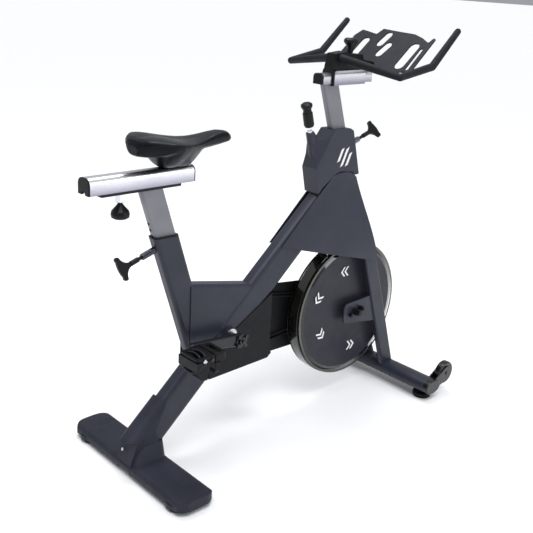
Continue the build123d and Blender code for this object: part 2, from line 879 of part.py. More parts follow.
def make_flywheel():
    """Cast flywheel: a heavy rim with sloped shoulders, a thin web and a hub."""
    rim_inner, web_half, hub = 180, 4, 30
    with BuildPart() as wheel:
        with BuildSketch(Plane(origin=(wheel_x, 0, wheel_z), x_dir=(1, 0, 0), z_dir=(0, 0, 1))):
            with BuildLine():
                Polyline((wheel_axle_radius + run_gap, -wheel_face_half + 2), (hub, -wheel_face_half + 2),
                         (hub, -web_half), (rim_inner, -web_half), (rim_inner, -wheel_face_half + 2),
                         (wheel_face_radius, -wheel_face_half + 2), (wheel_face_radius, -wheel_face_half),
                         (wheel_radius, -wheel_rim_half), (wheel_radius, wheel_rim_half),
                         (wheel_face_radius, wheel_face_half), (rim_inner, wheel_face_half - 2),
                         (rim_inner, web_half), (hub, web_half), (hub, wheel_face_half),
                         (wheel_axle_radius + run_gap, wheel_face_half),
                         (wheel_axle_radius + run_gap, -wheel_face_half + 2))
            make_face()
        revolve(axis=Axis((wheel_x, 0, wheel_z), (0, 1, 0)))
    return wheel


def make_wheel_cover():
    """Dished disc on the right face of the flywheel."""
    skin = 2
    with BuildPart() as disc:
        with BuildSketch(Plane(origin=(wheel_x, 0, wheel_z), x_dir=(1, 0, 0), z_dir=(0, 0, 1))):
            with BuildLine():
                Polyline((16, -wheel_face_half - 3), (60, -wheel_face_half - 3), (180, -wheel_face_half),
                         (wheel_face_radius, -wheel_face_half), (wheel_face_radius, -wheel_face_half + 2),
                         (180, -wheel_face_half + 2), (60, -wheel_face_half - 3 + skin),
                         (16, -wheel_face_half - 3 + skin), (16, -wheel_face_half - 3))
            make_face()
        revolve(axis=Axis((wheel_x, 0, wheel_z), (0, 1, 0)))
    return disc


def make_wheel_axle():
    """Fixed flywheel axle: each axle plate is clamped between an inner and an outer nut."""
    plate_in, plate_out = 50, 56
    with BuildPart() as axle:
        with BuildSketch(side_plane(66)):
            with Locations((wheel_x, wheel_z)):
                Circle(wheel_axle_radius)
        extrude(amount=132)
        for side in (-1, 1):
            with BuildSketch(Plane.XZ.offset(-side * (plate_in - 6))):
                with Locations((wheel_x, wheel_z)):
                    RegularPolygon(12, 6)
            extrude(amount=-side * 6)
            with BuildSketch(Plane.XZ.offset(-side * plate_out)):
                with Locations((wheel_x, wheel_z)):
                    Circle(15)
            extrude(amount=-side * 1.5)
            with BuildSketch(Plane.XZ.offset(-side * (plate_out + 1.5))):
                with Locations((wheel_x, wheel_z)):
                    RegularPolygon(12, 6)
            extrude(amount=-side * 7)
    return axle


# ---------------------------------------------------------------- resistance brake

brake_lean = 15.5
brake_top = (90.3, 993.5)
brake_tube_radius = 5
brake_rod_length = 478


def brake_plane(down):
    """Plane square to the brake rod, at a distance below the top of its knob."""
    c, s = cos(radians(brake_lean)), sin(radians(brake_lean))
    return Plane(origin=(brake_top[0] + down * s, 0, brake_top[1] - down * c), x_dir=(c, 0, s),
                 z_dir=(-s, 0, c))


def make_resistance_knob():
    """Mushroom knob: push to stop the wheel, turn to set the load."""
    points = ((12, 0), (17, -4), (17.5, -9), (15, -15), (12.5, -18), (12.5, -26), (15, -30),
              (15.5, -66), (13, -72))
    with BuildPart() as knob:
        add(turned(brake_plane(0), points).part)
        with BuildSketch(brake_plane(72)):
            Circle(4 + run_gap)
        extrude(amount=56, mode=Mode.SUBTRACT)
    return knob


def make_brake_rod():
    """Steel rod from the knob down to the magnet carriage."""
    with BuildPart() as rod:
        with BuildSketch(brake_plane(brake_rod_length)):
            Circle(4)
        extrude(amount=brake_rod_length - 18)
        with BuildSketch(brake_plane(brake_rod_length)):
            Circle(7)
        extrude(amount=6)
    return rod


carriage_pivot = (292, 556)
carriage_inner = wheel_radius + 6
carriage_outer = wheel_radius + 18


def make_magnet_carriage():
    """Curved carriage over the rim, hinged behind the fork crown, with its row of magnets."""
    half, start, sweep_angle = 19, 101.5, 17.5
    middle = (carriage_inner + carriage_outer) / 2
    c, s = cos(radians(start + 2)), sin(radians(start + 2))
    with BuildPart() as carriage:
        with BuildSketch(side_plane(half)):
            with BuildLine():
                inner = CenterArc((wheel_x, wheel_z), carriage_inner, start, sweep_angle)
                outer = CenterArc((wheel_x, wheel_z), carriage_outer, start, sweep_angle)
                Line(inner @ 0, outer @ 0)
                Line(inner @ 1, outer @ 1)
            make_face()
        extrude(amount=2 * half)
        with BuildSketch(side_plane(8)):
            with Locations(carriage_pivot):
                Circle(9)
            with Locations((wheel_x + middle * c, wheel_z + middle * s)):
                Circle(5)
            make_hull()
        extrude(amount=16)
        with BuildSketch(side_plane(8)):
            with Locations(carriage_pivot):
                Circle(5 + run_gap)
        extrude(amount=16, mode=Mode.SUBTRACT)
    return carriage


def make_brake_bracket():
    """Two plates behind the fork crown that carry the carriage's pivot pin."""
    with BuildPart() as bracket:
        for near in (14, -8.5):
            with BuildSketch(side_plane(near)):
                with Locations(carriage_pivot):
                    Circle(10)
                with Locations((317, 583)):
                    Circle(12)
                make_hull()
            extrude(amount=5.5)
        with BuildSketch(side_plane(14)):
            with Locations(carriage_pivot):
                Circle(5)
        extrude(amount=28)
    return bracket


# ---------------------------------------------------------------- seat

def arch(width, height, crown, bottom):
    """Arch outline that stands on local Y = bottom."""
    with BuildSketch() as face:
        with Locations((0, bottom + height / 2)):
            Rectangle(width, height)
        fillet(face.vertices().group_by(Axis.Y)[-1], crown)
    return face.sketch


def arch_bar(start, end, bottom, width, height, crown):
    """Solid arch bar along X."""
    with BuildPart() as bar:
        with BuildSketch(Plane.YZ.offset(start)):
            add(arch(width, height, crown, bottom))
        extrude(amount=end - start)
    return bar


def make_seat_post():
    """Seat post with the plate and the slide block that carry the seat rail."""
    plate_top = rail_bottom_z - slide_gap
    plate_back, plate_front, block_length = -608, -367, 196
    with BuildPart() as post:
        add(post_bar(seat_post_size, seat_foot_x, seat_lean, seat_post_low_z, seat_plate_z + 6).part)
        depth, width, corner = seat_post_size
        hollow = (depth - 5, width - 5, corner - 2.5)
        add(post_bar(hollow, seat_foot_x, seat_lean, seat_post_low_z, seat_plate_z).part,
            mode=Mode.SUBTRACT)
        split(bisect_by=Plane.XY.offset(seat_plate_z), keep=Keep.BOTTOM)
        with BuildSketch(Plane.XY.offset(seat_plate_z)):
            with Locations(((plate_back + plate_front) / 2, 0)):
                RectangleRounded(plate_front - plate_back, 42, 6)
        extrude(amount=plate_top - seat_plate_z)
        with BuildSketch(Plane.XY.offset(plate_top)):
            with Locations(((plate_back + plate_front) / 2, 0)):
                Rectangle(block_length, rail_slot - 2 * slide_gap)
        extrude(amount=rail_wall + 2 * slide_gap)
        with BuildSketch(Plane.XY.offset(rail_bottom_z + rail_wall + slide_gap)):
            with Locations(((plate_back + plate_front) / 2, 0)):
                Rectangle(block_length, rail_size[0] - 2 * rail_wall - 2 * slide_gap)
        extrude(amount=14)
        for step in range(-2, 5):
            hole = point_on(seat_foot_x, seat_lean, rear_pin_z + 18 * step)
            c, s = cos(radians(seat_lean)), sin(radians(seat_lean))
            if seat_post_low_z + 12 < hole[2] < seat_plate_z - 12:
                with BuildSketch(Plane(origin=hole, x_dir=(0, 1, 0), z_dir=(-c, 0, -s))):
                    Circle(4.5)
                extrude(amount=60, mode=Mode.SUBTRACT)
    return post


def make_seat_rail():
    """Hollow arch rail with a slot along its floor."""
    width, height = rail_size
    bottom = rail_bottom_z
    with BuildPart() as rail:
        add(arch_bar(rail_back_x, rail_front_x, bottom, width, height, rail_crown).part)
        add(arch_bar(rail_back_x, rail_front_x, bottom + rail_wall, width - 2 * rail_wall,
                     height - 2 * rail_wall, rail_crown - rail_wall).part, mode=Mode.SUBTRACT)
        with BuildSketch(Plane.YZ.offset(rail_back_x)):
            with Locations((0, bottom)):
                Rectangle(rail_slot, 4 * rail_wall)
        extrude(amount=rail_front_x - rail_back_x, mode=Mode.SUBTRACT)
    return rail


def make_rail_caps():
    """Black end caps of the seat rail."""
    width, height = rail_size
    with BuildPart() as caps:
        for start, end in ((rail_back_x - 5, rail_back_x), (rail_front_x, rail_front_x + 3)):
            add(arch_bar(start, end, rail_bottom_z, width, height, rail_crown).part)
        with BuildSketch(Plane.YZ.offset(rail_back_x - 5)):
            with Locations((0, rail_bottom_z)):
                Rectangle(rail_slot, 16)
        extrude(amount=rail_front_x - rail_back_x + 10, mode=Mode.SUBTRACT)
    return caps


seat_knob_x = -542


def make_seat_collar():
    """Chrome hexagonal boss of the clamp screw under the seat rail."""
    with BuildPart() as collar:
        with BuildSketch(Plane.XY.offset(789)):
            with Locations((seat_knob_x, 0)):
                RegularPolygon(14, 6)
                Circle(5 + run_gap, mode=Mode.SUBTRACT)
        extrude(amount=seat_plate_z - 789)
        chamfer(collar.edges().group_by(Axis.Z)[0], 1)
    return collar


def make_seat_knob():
    """Clamp knob under the seat rail with its screw."""
    points = ((5, -0.4), (5, -25), (8, -30), (22, -46), (24, -54), (23, -62), (17, -66))
    return turned(Plane(origin=(seat_knob_x, 0, seat_plate_z)), points)


def make_saddle_base():
    """Moulded pedestal that grips the seat rail and flares out under the saddle."""
    sections = ((857, -372, 80, 30), (868, -372, 88, 38), (878, -372, 116, 50), (890, -368, 165, 70),
                (912, -362, 225, 84))
    with BuildPart() as base:
        for height, centre_x, length, width in sections:
            with BuildSketch(Plane.XY.offset(height)):
                with Locations((centre_x, 0)):
                    RectangleRounded(length, width, 14)
        loft()
        add(arch_bar(rail_back_x, rail_front_x, rail_bottom_z, *rail_size, rail_crown).part,
            mode=Mode.SUBTRACT)
        add(make_saddle_pad().part, mode=Mode.SUBTRACT)
    with BuildPart() as kept:
        add(base.part.solids().sort_by(Axis.Z)[0])
    return kept


def make_saddle_pad():
    """Padded saddle: wide at the back, a narrow nose in front."""
    stations = ((-506, 70, 932, 908), (-488, 150, 946, 902), (-455, 204, 953, 899), (-405, 196, 946, 897),
                (-350, 132, 936, 895), (-317, 96, 932, 895), (-280, 72, 938, 897), (-240, 56, 946, 901),
                (-208, 40, 941, 905), (-195, 16, 924, 910))
    with BuildPart() as pad:
        for x, width, top, bottom in stations:
            with BuildSketch(Plane.YZ.offset(x)):
                with Locations((0, (top + bottom) / 2)):
                    Ellipse(width / 2, (top - bottom) / 2)
        loft()
    return pad


# ---------------------------------------------------------------- handlebar

def make_bar_post():
    """Handlebar post, closed by a black plate below its rail."""
    with BuildPart() as post:
        add(post_bar(bar_post_size, bar_foot_x, bar_lean, bar_post_low_z, bar_plate_z + 30).part)
        depth, width, corner = bar_post_size
        hollow = (depth - 5, width - 5, corner - 2.5)
        add(post_bar(hollow, bar_foot_x, bar_lean, bar_post_low_z, bar_plate_z - 6).part,
            mode=Mode.SUBTRACT)
        split(bisect_by=Plane.XY.offset(bar_rail_bottom_z), keep=Keep.BOTTOM)
        for step in range(0, 7):
            height = front_pin_z + 22 * step
            if height < bar_plate_z - 24:
                with BuildSketch(pin_plane(bar_foot_x, bar_lean, height, 1)):
                    Circle(4.5)
                extrude(amount=60, mode=Mode.SUBTRACT)
    return post


def make_bar_rail():
    """Hollow arch rail on top of the handlebar post."""
    width, height = bar_rail_size
    wall = 4
    with BuildPart() as rail:
        add(arch_bar(bar_rail_back_x, bar_rail_front_x, bar_rail_bottom_z, width, height,
                     bar_rail_crown).part)
        add(arch_bar(bar_rail_back_x, bar_rail_front_x, bar_rail_bottom_z + wall, width - 2 * wall,
                     height - 2 * wall, bar_rail_crown - wall).part, mode=Mode.SUBTRACT)
    return rail


def make_bar_rail_cap():
    """Black rear end cap of the handlebar rail."""
    width, height = bar_rail_size
    with BuildPart() as cap:
        add(arch_bar(bar_rail_back_x - 7, bar_rail_back_x, bar_rail_bottom_z, width, height,
                     bar_rail_crown).part)
    return cap


def carriage(start, end, width, bottom, top, crown):
    """Arch sleeve round the rail, open below for the post."""
    rail_width, rail_height = bar_rail_size
    mouth = 27
    with BuildPart() as sleeve:
        add(arch_bar(start, end, bottom, width, top - bottom, crown).part)
        add(arch_bar(start, end, bar_rail_bottom_z - slide_gap, rail_width + 2 * slide_gap,
                     rail_height + 2 * slide_gap, bar_rail_crown + slide_gap).part, mode=Mode.SUBTRACT)
        with BuildSketch(Plane.YZ.offset(start)):
            with Locations((0, bottom)):
                Rectangle(mouth, 20)
        extrude(amount=end - start, mode=Mode.SUBTRACT)
    return sleeve


def make_bar_sleeve():
    """Polished sleeve that slides on the handlebar rail."""
    return carriage(sleeve_back_x, sleeve_front_x, 44, 1041.5, 1086, 14)


def make_stem_block():
    """Black stem: a collar behind the sleeve, and the block under the handlebar and the tray."""
    block_back, block_front = 181, 298
    with BuildPart() as stem:
        add(carriage(carriage_back_x, sleeve_back_x, 46, 1040.5, 1092, 15).part)
        with BuildSketch(Plane.XZ.offset(-17)):
            with BuildLine():
                Polyline((carriage_back_x, 1086), (carriage_back_x, 1094), (block_back, 1132),
                         (229, 1137), (250, 1130), (block_front, 1128), (block_front + 8, 1112),
                         (352, 1104), (356, 1092), (300, 1086), (carriage_back_x, 1086))
            make_face()
        extrude(amount=34)
        add(make_handlebar().part, mode=Mode.SUBTRACT)
        with BuildSketch(Plane.XY.offset(1100)):
            with Locations((bar_knob_x, 0)):
                Circle(6 + run_gap)
        extrude(amount=60, mode=Mode.SUBTRACT)
        add(tray_blank().part, mode=Mode.SUBTRACT)
    with BuildPart() as kept:
        add(stem.part.solids().sort_by(SortBy.VOLUME)[-1])
    return kept


bar_knob_x = 260


def make_bar_knob():
    """Clamp knob on top of the stem, with its screw."""
    points = ((16, 0), (21, -5), (21, -12), (13, -22), (9, -30), (9, -42), (6, -43), (6, -60))
    return turned(Plane(origin=(bar_knob_x, 0, 1174)), points)


def make_handlebar():
    """Handlebar: a crossbar that drops to its corners, then runs forwards and up into two horns."""
    stations = (((203, 0, 1121), bar_radius), ((232, 219, 1087), 10.5),
                ((bend_x, 221, bend_z + 1), horn_radii[0]), ((477, 219, 1209), horn_radii[1]))
    with BuildPart() as bar:
        for side in (-1, 1):
            for low, high in zip(stations, stations[1:]):
                ends = [((x, side * y, z), radius) for (x, y, z), radius in (low, high)]
                along = (Vector(ends[1][0]) - Vector(ends[0][0])).normalized()
                for centre, radius in ends:
                    with BuildSketch(Plane(origin=centre, z_dir=along)):
                        Circle(radius)
                loft()
                with Locations(ends[1][0]):
                    Sphere(ends[1][1])
        with Locations(stations[0][0]):
            Sphere(bar_radius)
    return bar


def tray_plane(offset):
    """Plane of the tray, which lies in the plane of the horns: local X to the left, local Y up."""
    c, s = cos(radians(horn_rise)), sin(radians(horn_rise))
    return Plane(origin=(bend_x - offset * s, 0, bend_z + offset * c), x_dir=(0, 1, 0), z_dir=(s, 0, -c))


def tray_blank():
    """Tray outline, before its slots."""
    with BuildPart() as blank:
        with BuildSketch(tray_plane(tray_skin / 2)) as face:
            with BuildLine():
                Polyline((-163, -30), (-166, 104), (-158, 111), (-151, 87), (-120, 103), (-84, 115),
                         (-2, 120), (46, 124), (58, 99), (98, 107), (124, 111), (140, 84), (146, -30),
                         (60, -48), (30, -30), (-30, -30), (-60, -48), (-163, -30))
            make_face()
            fillet(face.vertices().filter_by(lambda v: v.Y > 0 or v.X > 40), 5)
        extrude(amount=tray_skin)
    return blank


def make_tray():
    """Tray for a tablet and a bottle, with its long slots."""
    slots = ((84, 40, 82, 30, 95.4), (14, 82, 62, 27, 103.7), (-11, 41, 62, 27, 106.7),
             (-111, 27, 106, 34, 94.3), (-143.5, 18, 88, 11, 91))
    with BuildPart() as tray:
        add(tray_blank().part)
        with BuildSketch(tray_plane(tray_skin)):
            for y, u, length, width, turn in slots:
                with Locations((y, u)):
                    SlotOverall(length, width, rotation=turn)
        extrude(amount=4 * tray_skin, mode=Mode.SUBTRACT)
    return tray


# ---------------------------------------------------------------- post bushings and spring pins

def make_bushings():
    """Plastic bushings in the mouths of the seat tube and the head tube."""
    gap = 0.05

    def bushing(tube, post, foot_x, lean, top):
        inner = (tube[0] - 2 * tube_wall, tube[1] - 2 * tube_wall, tube[2] - tube_wall)
        core = (post[0] + 2 * gap, post[1] + 2 * gap, post[2] + gap)
        with BuildPart() as ring:
            add(post_bar(tube, foot_x, lean, top - 20, top + 25).part)
            split(bisect_by=Plane.XY.offset(top), keep=Keep.TOP)
            add(post_bar(inner, foot_x, lean, top - 70, top + 20).part)
            split(bisect_by=Plane.XY.offset(top + 4), keep=Keep.BOTTOM)
            add(post_bar(core, foot_x, lean, top - 80, top + 40).part, mode=Mode.SUBTRACT)
        return ring

    with BuildPart() as pair:
        add(bushing(seat_tube_size, seat_post_size, seat_foot_x, seat_lean, seat_top_z).part)
        add(bushing(head_tube_size, bar_post_size, bar_foot_x, bar_lean, head_top_z).part)
        add(drill_pin(seat_foot_x, seat_lean, rear_pin_z, -1).part, mode=Mode.SUBTRACT)
        add(drill_pin(bar_foot_x, bar_lean, front_pin_z, 1).part, mode=Mode.SUBTRACT)
    return pair


# For each spring pin: its post, the pin's side and place, and its handle's sizes along the pin
pins = {
    "rear": {"post": (seat_foot_x, seat_lean, rear_pin_z, -1), "half": seat_post_size[0] / 2,
             "sleeve_end": 80, "neck_start": 92, "wing_end": 154, "wing_half": 30, "turn": 20},
    "front": {"post": (bar_foot_x, bar_lean, front_pin_z, 1), "half": bar_post_size[0] / 2,
              "sleeve_end": 84, "neck_start": 106, "wing_end": 168, "wing_half": 27, "turn": -42},
}
pin_gap = 0.6


def make_guide_sleeves():
    """Turned guides: the two spring pins' sleeves, and the brake rod's collar on the head cover."""
    with BuildPart() as sleeves:
        for pin in pins.values():
            start = pin["half"] + 1
            with BuildSketch(pin_plane(*pin["post"]).offset(start)):
                Circle(pin_sleeve_radius)
                Circle(pin_radius + run_gap, mode=Mode.SUBTRACT)
            extrude(amount=pin["sleeve_end"] - start)
        with BuildSketch(brake_plane(91)):
            Circle(7.5)
            Circle(4 + run_gap, mode=Mode.SUBTRACT)
        extrude(amount=7)
    return sleeves


def make_pin(name):
    """Spring pin with its wing handle; the wing is turned about the pin."""
    pin = pins[name]
    base = pin_plane(*pin["post"])
    start, neck, half, end = pin["half"] + pin_gap, pin["neck_start"], pin["wing_half"], pin["wing_end"]
    up = Vector(*(base.y_dir if base.y_dir.Z > 0 else -base.y_dir))
    across = up.rotate(Axis((0, 0, 0), base.z_dir), pin["turn"])
    face = Plane(origin=base.origin, x_dir=base.z_dir, z_dir=base.z_dir.cross(across))
    thickness = 9
    root = end - 44
    with BuildPart() as handle:
        with BuildSketch(base.offset(start)):
            Circle(pin_radius)
        extrude(amount=neck + 20 - start)
        with BuildSketch(base.offset(neck)):
            Circle(7)
        extrude(amount=root + 6 - neck)
        with BuildSketch(face.offset(-thickness / 2)):
            with BuildLine():
                Line((root, -5), (root, 5))
                ThreePointArc((root, 5), (end - 26, 10), (end - 14, half))
                ThreePointArc((end - 14, half), (end - 5, half + 2), (end - 3, half - 8))
                ThreePointArc((end - 3, half - 8), (end, 0), (end - 3, 8 - half))
                ThreePointArc((end - 3, 8 - half), (end - 5, -half - 2), (end - 14, -half))
                ThreePointArc((end - 14, -half), (end - 26, -10), (root, -5))
            make_face()
        extrude(amount=thickness)
    return handle


def main():
    os.makedirs("parts", exist_ok=True)
    for name, maker in single_pieces.items():
        save(maker(), name)
    for name, maker in paired_pieces.items():
        piece = maker()
        save(piece, f"{name}_right")
        save(mirrored(piece), f"{name}_left")
    for name, side in (("right", -1), ("left", 1)):
        save(make_crank(side), f"crank_{name}")
        save(make_pedal(side), f"pedal_{name}")
        save(make_toe_cage(side), f"toe_cage_{name}")
    for name in pins:
        save(make_pin(name), f"{name}_pin_handle")


single_pieces = {
    "main_tube": make_main_tube,
    "seat_tube": make_seat_tube,
    "frame_web": make_frame_web,
    "head_tube": make_head_tube,
    "front_stabiliser_tube": make_front_tube,
    "front_end_caps": make_end_caps,
    "rear_stabiliser_tube": make_rear_tube,
    "rear_sleeve_cover": make_rear_cover,
    "cover_screws": make_cover_screws,
    "head_cover": make_head_cover,
    "drive_cover": make_drive_cover,
    "belt_guard": make_belt_guard,
    "post_bushings": make_bushings,
    "crank_bearings": make_crank_bearings,
    "guide_sleeves": make_guide_sleeves,
    "flywheel_axle": make_wheel_axle,
    "flywheel": make_flywheel,
    "flywheel_cover": make_wheel_cover,
    "flywheel_pulley": make_wheel_pulley,
    "drive_belt": make_belt,
    "crank_axle": make_crank_axle,
    "crank_pulley": make_crank_pulley,
    "brake_rod": make_brake_rod,
    "resistance_knob": make_resistance_knob,
    "magnet_carriage": make_magnet_carriage,
    "seat_post": make_seat_post,
    "seat_clamp_collar": make_seat_collar,
    "seat_clamp_knob": make_seat_knob,
    "seat_rail": make_seat_rail,
    "seat_rail_caps": make_rail_caps,
    "saddle_base": make_saddle_base,
    "saddle_pad": make_saddle_pad,
    "bar_post": make_bar_post,
    "bar_rail": make_bar_rail,
    "bar_rail_cap": make_bar_rail_cap,
    "bar_sleeve": make_bar_sleeve,
    "stem_block": make_stem_block,
    "bar_clamp_knob": make_bar_knob,
    "handlebar": make_handlebar,
    "media_tray": make_tray,
}
paired_pieces = {
    "fork_leg": make_fork_leg,
    "transport_wheel": make_transport_wheel,
    "front_foot": make_front_foot,
    "rear_foot": make_rear_foot,
    "rear_pad": make_rear_pad,
    "fairing": make_fairing,
}
main()
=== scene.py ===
"""Exercise bike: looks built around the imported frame."""
import json
import math

import bmesh
import bpy
from mathutils import Matrix, Vector


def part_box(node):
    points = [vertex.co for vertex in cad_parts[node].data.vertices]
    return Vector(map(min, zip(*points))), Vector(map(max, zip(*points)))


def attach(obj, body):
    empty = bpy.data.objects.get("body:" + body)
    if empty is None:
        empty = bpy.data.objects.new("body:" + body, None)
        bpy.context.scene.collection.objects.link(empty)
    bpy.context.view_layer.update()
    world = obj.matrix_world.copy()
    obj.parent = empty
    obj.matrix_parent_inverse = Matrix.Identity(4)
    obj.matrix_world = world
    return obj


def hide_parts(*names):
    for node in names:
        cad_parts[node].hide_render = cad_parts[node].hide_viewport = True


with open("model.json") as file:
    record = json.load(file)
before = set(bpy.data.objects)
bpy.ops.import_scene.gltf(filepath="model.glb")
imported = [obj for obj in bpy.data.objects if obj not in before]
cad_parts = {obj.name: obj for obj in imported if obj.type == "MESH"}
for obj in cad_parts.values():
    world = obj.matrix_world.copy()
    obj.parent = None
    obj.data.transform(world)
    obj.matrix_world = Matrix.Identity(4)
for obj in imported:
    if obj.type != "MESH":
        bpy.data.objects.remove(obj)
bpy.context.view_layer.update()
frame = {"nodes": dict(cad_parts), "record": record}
nodes = frame["nodes"]
scene = bpy.context.scene


# ---------------------------------------------------------------- materials

def srgb(red, green, blue):
    """Linear colour of an 8-bit screen colour."""
    def linear(value):
        value /= 255
        return value / 12.92 if value <= 0.04045 else ((value + 0.055) / 1.055) ** 2.4
    return linear(red), linear(green), linear(blue), 1.0


class Look:
    """A procedural material, built up one layer at a time."""

    def __init__(self, name, colour, roughness, metallic=0.0, coat=0.0, coat_roughness=0.1,
                 specular=0.2):
        self.material = bpy.data.materials.new(name)
        self.material.use_nodes = True
        self.tree = self.material.node_tree
        self.shader = self.tree.nodes["Principled BSDF"]
        self.colour = colour
        self.shader.inputs["Base Color"].default_value = colour
        self.shader.inputs["Roughness"].default_value = roughness
        self.shader.inputs["Metallic"].default_value = metallic
        self.shader.inputs["Coat Weight"].default_value = coat
        self.shader.inputs["Coat Roughness"].default_value = coat_roughness
        self.shader.inputs["Specular IOR Level"].default_value = specular
        self.material.diffuse_color = colour
        self.place = self.node("ShaderNodeTexCoord").outputs["Object"]
        self.normal = None

    def node(self, kind, **settings):
        made = self.tree.nodes.new(kind)
        for key, value in settings.items():
            if key in made.inputs:
                made.inputs[key].default_value = value
            else:
                setattr(made, key.lower(), value)
        return made

    def link(self, source, target):
        self.tree.links.new(source, target)

    def stretched(self, scale):
        """Object coordinates stretched by a factor along each axis."""
        mapping = self.node("ShaderNodeMapping", Scale=scale)
        self.link(self.place, mapping.inputs["Vector"])
        return mapping.outputs["Vector"]

    def noise(self, scale, detail=3.0, roughness=0.5, stretch=None):
        texture = self.node("ShaderNodeTexNoise", Scale=scale, Detail=detail, Roughness=roughness)
        self.link(self.place if stretch is None else self.stretched(stretch), texture.inputs["Vector"])
        return texture.outputs["Fac"]

    def cells(self, scale, stretch=None):
        texture = self.node("ShaderNodeTexVoronoi", Scale=scale)
        self.link(self.place if stretch is None else self.stretched(stretch), texture.inputs["Vector"])
        return texture.outputs["Distance"]

    def ranged(self, value, low, high, start=0.0, end=1.0):
        spread = self.node("ShaderNodeMapRange")
        self.link(value, spread.inputs["Value"])
        for key, number in (("From Min", start), ("From Max", end), ("To Min", low), ("To Max", high)):
            spread.inputs[key].default_value = number
        return spread.outputs["Result"]

    def tint(self, value, low, high, start=0.3, end=0.7):
        """Base colour runs from low to high as value runs from start to end."""
        ramp = self.node("ShaderNodeValToRGB")
        ramp.color_ramp.elements[0].position = start
        ramp.color_ramp.elements[0].color = low
        ramp.color_ramp.elements[1].position = end
        ramp.color_ramp.elements[1].color = high
        self.link(value, ramp.inputs["Fac"])
        self.link(ramp.outputs["Color"], self.shader.inputs["Base Color"])

    def over(self, mask, colour):
        """Lays a colour over the base colour where mask is 1."""
        below = self.shader.inputs["Base Color"].links
        mix = self.node("ShaderNodeMix", Data_Type="RGBA")
        self.link(mask, mix.inputs["Factor"])
        if below:
            self.link(below[0].from_socket, mix.inputs[6])
        else:
            mix.inputs[6].default_value = self.colour
        mix.inputs[7].default_value = colour
        self.link(mix.outputs[2], self.shader.inputs["Base Color"])

    def product(self, one, other):
        multiply = self.node("ShaderNodeMath", Operation="MULTIPLY")
        self.link(one, multiply.inputs[0])
        self.link(other, multiply.inputs[1])
        return multiply.outputs["Value"]

    def position(self, axis):
        """Object coordinate along X, Y or Z."""
        split = self.node("ShaderNodeSeparateXYZ")
        self.link(self.place, split.inputs["Vector"])
        return split.outputs[axis]

    def rough(self, value, low, high, start=0.3, end=0.7):
        self.link(self.ranged(value, low, high, start, end), self.shader.inputs["Roughness"])

    def bump(self, height, strength, distance):
        bump = self.node("ShaderNodeBump", Strength=strength, Distance=distance)
        self.link(height, bump.inputs["Height"])
        if self.normal is not None:
            self.link(self.normal, bump.inputs["Normal"])
        self.normal = bump.outputs["Normal"]
        self.link(self.normal, self.shader.inputs["Normal"])

    def round_edges(self, radius):
        """Softens the shading of sharp CAD edges."""
        bevel = self.node("ShaderNodeBevel", Radius=radius)
        bevel.samples = 4
        self.normal = bevel.outputs["Normal"]
        self.link(self.normal, self.shader.inputs["Normal"])

    def painted_edge_highlight(self, radius, colour, amount=0.6):
        """Painted highlight: colour lighter along the edges, broken up by noise."""
        bevel = self.node("ShaderNodeBevel", Radius=radius)
        bevel.samples = 4
        flat = self.node("ShaderNodeNewGeometry").outputs["Normal"]
        dot = self.node("ShaderNodeVectorMath", Operation="DOT_PRODUCT")
        self.link(bevel.outputs["Normal"], dot.inputs[0])
        self.link(flat, dot.inputs[1])
        edge = self.ranged(dot.outputs["Value"], amount, 0.0, 0.90, 0.995)
        broken = self.ranged(self.noise(55, 5), 0.35, 1.0, 0.35, 0.65)
        self.over(self.product(edge, broken), colour)


def frame_paint():
    look = Look("frame_paint", srgb(36, 38, 47), 0.42, coat=0.25, coat_roughness=0.3)
    look.tint(look.noise(14, 4), srgb(35, 38, 49), srgb(43, 46, 58))
    # Painted highlight: a lighter bluish colour along the frame's edges.
    look.painted_edge_highlight(0.0022, srgb(84, 88, 106), 0.5)
    look.rough(look.noise(30, 4), 0.34, 0.46)
    look.round_edges(0.0018)
    look.bump(look.noise(1500, 2), 0.25, 0.0003)
    return look.material


def moulded(name, low, high, roughness, grain=900, grain_depth=0.0003, coat=0.0, edge=0.0015):
    """Injection-moulded plastic with a fine leathery grain."""
    look = Look(name, low, roughness, coat=coat, coat_roughness=0.2)
    look.tint(look.noise(11, 4), low, high)
    look.rough(look.noise(38, 3), roughness - 0.05, roughness + 0.06)
    look.round_edges(edge)
    look.bump(look.cells(grain), 0.35, grain_depth)
    look.bump(look.noise(60, 3), 0.06, 0.001)
    return look.material


def foot_rubber():
    look = Look("foot_rubber", srgb(14, 15, 20), 0.7)
    look.tint(look.noise(40, 5), srgb(11, 12, 17), srgb(22, 23, 30))
    look.round_edges(0.0015)
    look.bump(look.noise(700, 4), 0.5, 0.0005)
    return look.material


def turned_metal(name, low, high, roughness, axis="Y", metallic=1.0):
    """Metal with fine lines left by the lathe or the brush."""
    look = Look(name, low, roughness, metallic=metallic)
    stretch = {"X": (2, 300, 300), "Y": (300, 2, 300), "Z": (300, 300, 2)}[axis]
    look.tint(look.noise(9, 3), low, high)
    look.rough(look.noise(6, 4, stretch=stretch), roughness - 0.07, roughness + 0.08)
    look.round_edges(0.0008)
    look.bump(look.noise(5, 3, stretch=stretch), 0.12, 0.0003)
    return look.material


def rod_chrome():
    look = Look("rod_chrome", srgb(225, 227, 232), 0.09, metallic=1.0)
    look.rough(look.noise(80, 4), 0.06, 0.16)
    look.round_edges(0.0008)
    look.bump(look.noise(400, 2), 0.04, 0.0002)
    return look.material


def guide_metal():
    """Brake collar in chrome, rear pin sleeve in dark paint, front one in satin grey."""
    look = Look("guide_metal", srgb(222, 224, 230), 0.14, metallic=1.0)
    along = look.position("X")
    look.over(look.ranged(along, 1, 0, -0.3, -0.299), srgb(74, 76, 84))
    look.over(look.ranged(along, 0, 1, 0.2, 0.201), srgb(118, 119, 132))
    look.rough(look.noise(80, 4), 0.14, 0.26)
    look.round_edges(0.0012)
    look.bump(look.noise(400, 2), 0.05, 0.0002)
    return look.material


